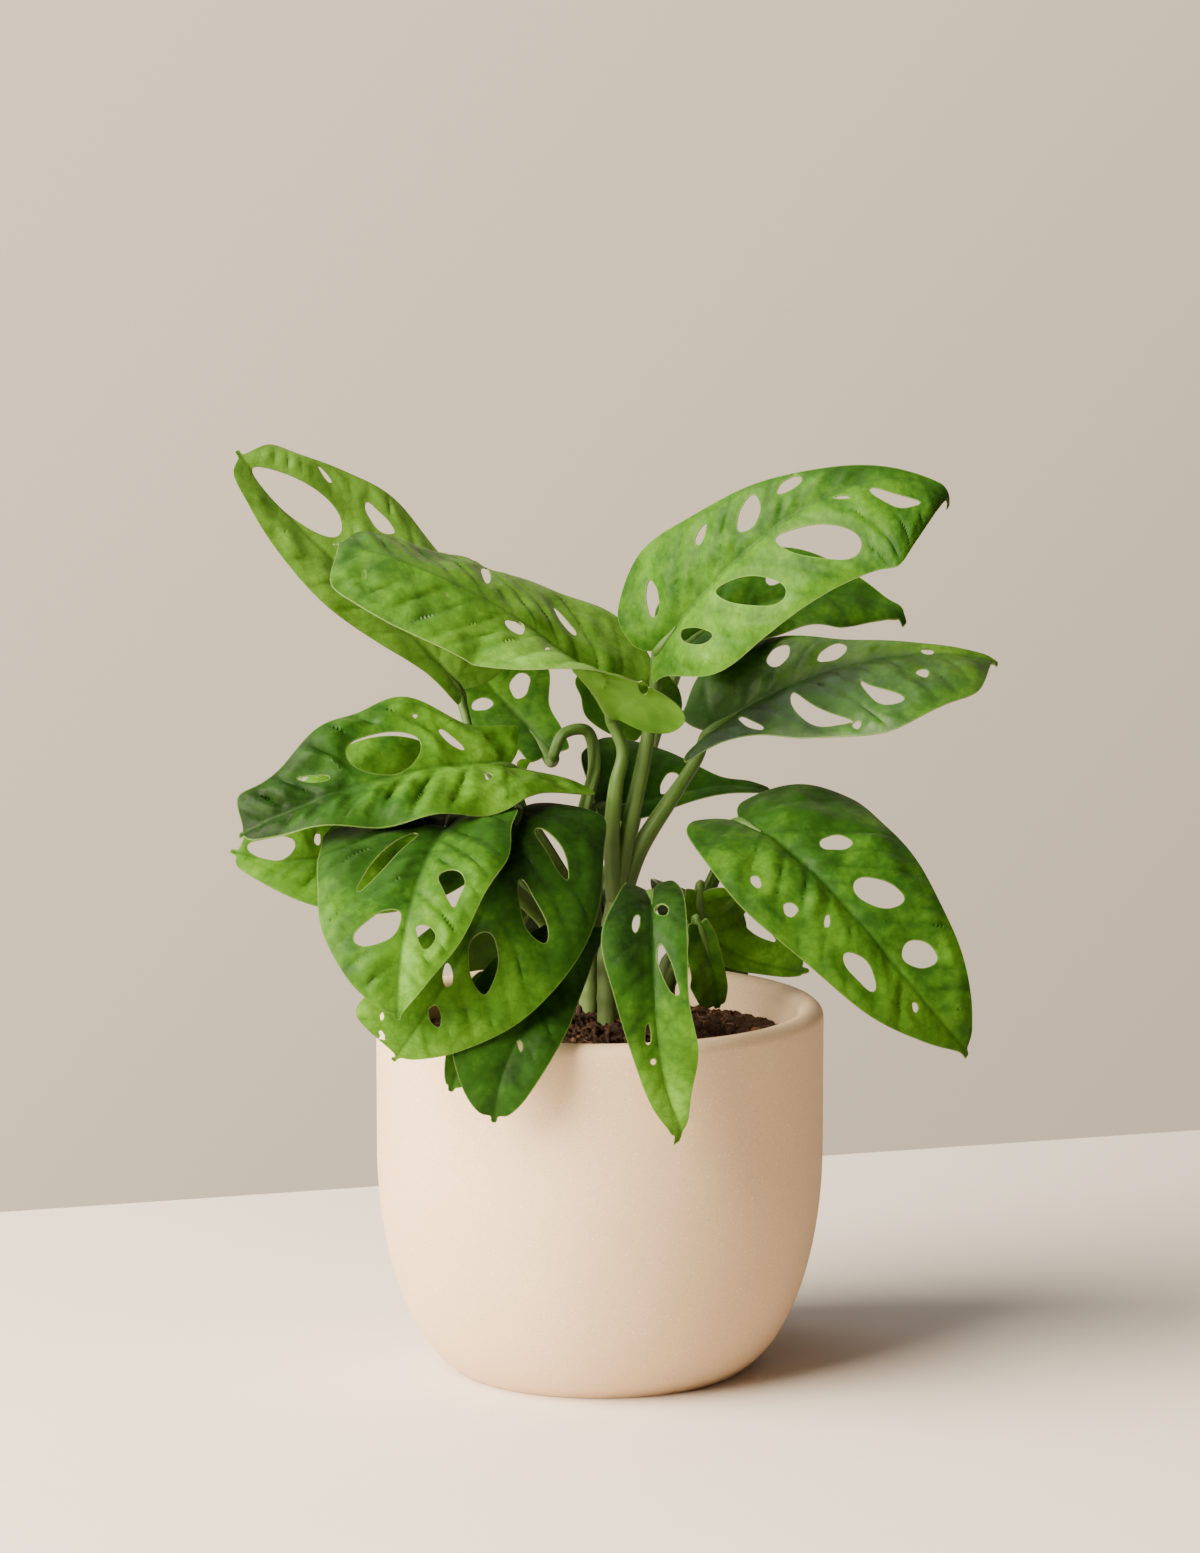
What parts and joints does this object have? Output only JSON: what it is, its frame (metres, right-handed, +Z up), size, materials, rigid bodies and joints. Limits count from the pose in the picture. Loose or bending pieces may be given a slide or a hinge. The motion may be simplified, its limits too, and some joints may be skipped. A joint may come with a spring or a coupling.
{
  "type": "potted monstera adansonii",
  "caption": "Tabletop potted swiss cheese vine: long holed leaves on arching green stalks that rise from dark soil in a round, straight-sided, speckled pale bisque pot with a curved foot.",
  "frame": {"origin": "centre of the pot's flat foot, on the table", "axes": "+Z up, -Y toward the plant's front, +X to the right seen from the front"},
  "size_m": [0.2535, 0.1945, 0.3104],
  "materials": {
    "pot": "unglazed pale stoneware with fine sandy speckles",
    "soil": "dark crumbly potting mix with pale fibres",
    "vine": "smooth pale green stalks, browner near the soil",
    "leaf": "semi-gloss green leaf, paler underside, thin pale margins"
  },
  "bodies": {
    "root": {"pot": "pot", "soil": "soil", "vine_front": "vine", "vine_left": "vine", "vine_back": "vine", "vine_right": "vine", "leaf_top_left": "leaf", "leaf_upper_front": "leaf", "leaf_top_right": "leaf", "leaf_behind_top_right": "leaf", "leaf_right": "leaf", "leaf_behind_stems": "leaf", "leaf_left_back": "leaf", "leaf_left_wavy": "leaf", "leaf_left_under": "leaf", "leaf_front_left": "leaf", "leaf_front_large": "leaf", "leaf_over_rim_left": "leaf", "leaf_over_rim_tip": "leaf", "leaf_over_rim_front": "leaf", "leaf_right_back": "leaf", "leaf_front_right": "leaf", "leaf_small_by_soil": "leaf", "leaf_narrow_back": "leaf", "leaf_back_left": "leaf", "leaf_back_right": "leaf"}
  },
  "joints": []
}
